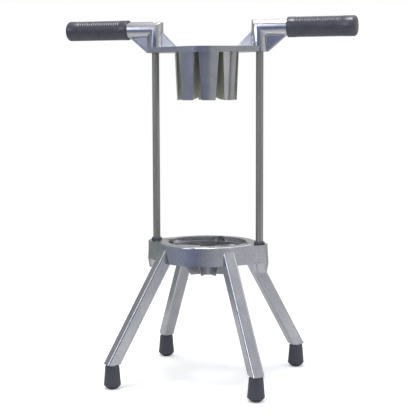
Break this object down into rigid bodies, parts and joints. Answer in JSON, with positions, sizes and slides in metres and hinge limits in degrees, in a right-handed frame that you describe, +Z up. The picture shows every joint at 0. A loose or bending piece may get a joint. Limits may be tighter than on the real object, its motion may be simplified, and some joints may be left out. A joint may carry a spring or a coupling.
{
  "type": "apple wedger press",
  "caption": "Hand press that cores a whole apple and cuts it into wedges: a blade ring on splayed legs, and a fingered head with side grips that slides on guide rods.",
  "frame": {"origin": "on the table, midway between the four feet", "axes": "+Z up along the stroke and the guide rods, +X along the two handles to the right, -Y towards the user at the front; the head is raised in the rest pose"},
  "size_m": [0.3528, 0.1926, 0.4231],
  "materials": {
    "cast_aluminium": "polished casting, lightly worn",
    "pusher_aluminium": "rough casting",
    "rod_steel": "ground, dull",
    "blade_steel": "ground",
    "screw_steel": "oiled",
    "black_rubber": "moulded, half matt",
    "bumper_rubber": "matt",
    "bushing_bronze": "sintered"
  },
  "bodies": {
    "stand": {"base_casting": "cast_aluminium", "leg_front_left": "cast_aluminium", "leg_front_right": "cast_aluminium", "leg_rear_right": "cast_aluminium", "leg_rear_left": "cast_aluminium", "guide_rod_left": "rod_steel", "guide_rod_right": "rod_steel", "blade_frame": "blade_steel", "wedge_blades": "blade_steel", "corer_tube": "blade_steel", "rod_set_screws": "screw_steel", "leg_screws": "screw_steel", "blade_frame_screws": "screw_steel", "foot_front_left": "black_rubber", "foot_front_right": "black_rubber", "foot_rear_right": "black_rubber", "foot_rear_left": "black_rubber", "rod_bumper_left": "bumper_rubber", "rod_bumper_right": "bumper_rubber"},
    "press_head": {"head_casting": "cast_aluminium", "rod_bushing_left": "bushing_bronze", "rod_bushing_right": "bushing_bronze", "pusher_block": "pusher_aluminium", "pusher_screws": "screw_steel", "grip_left": "black_rubber", "grip_right": "black_rubber"}
  },
  "joints": [
    {"name": "head_slide", "type": "slide", "parent": "stand", "child": "press_head", "axis": [0, 0, 1], "range_m": [-0.218, 0]}
  ]
}
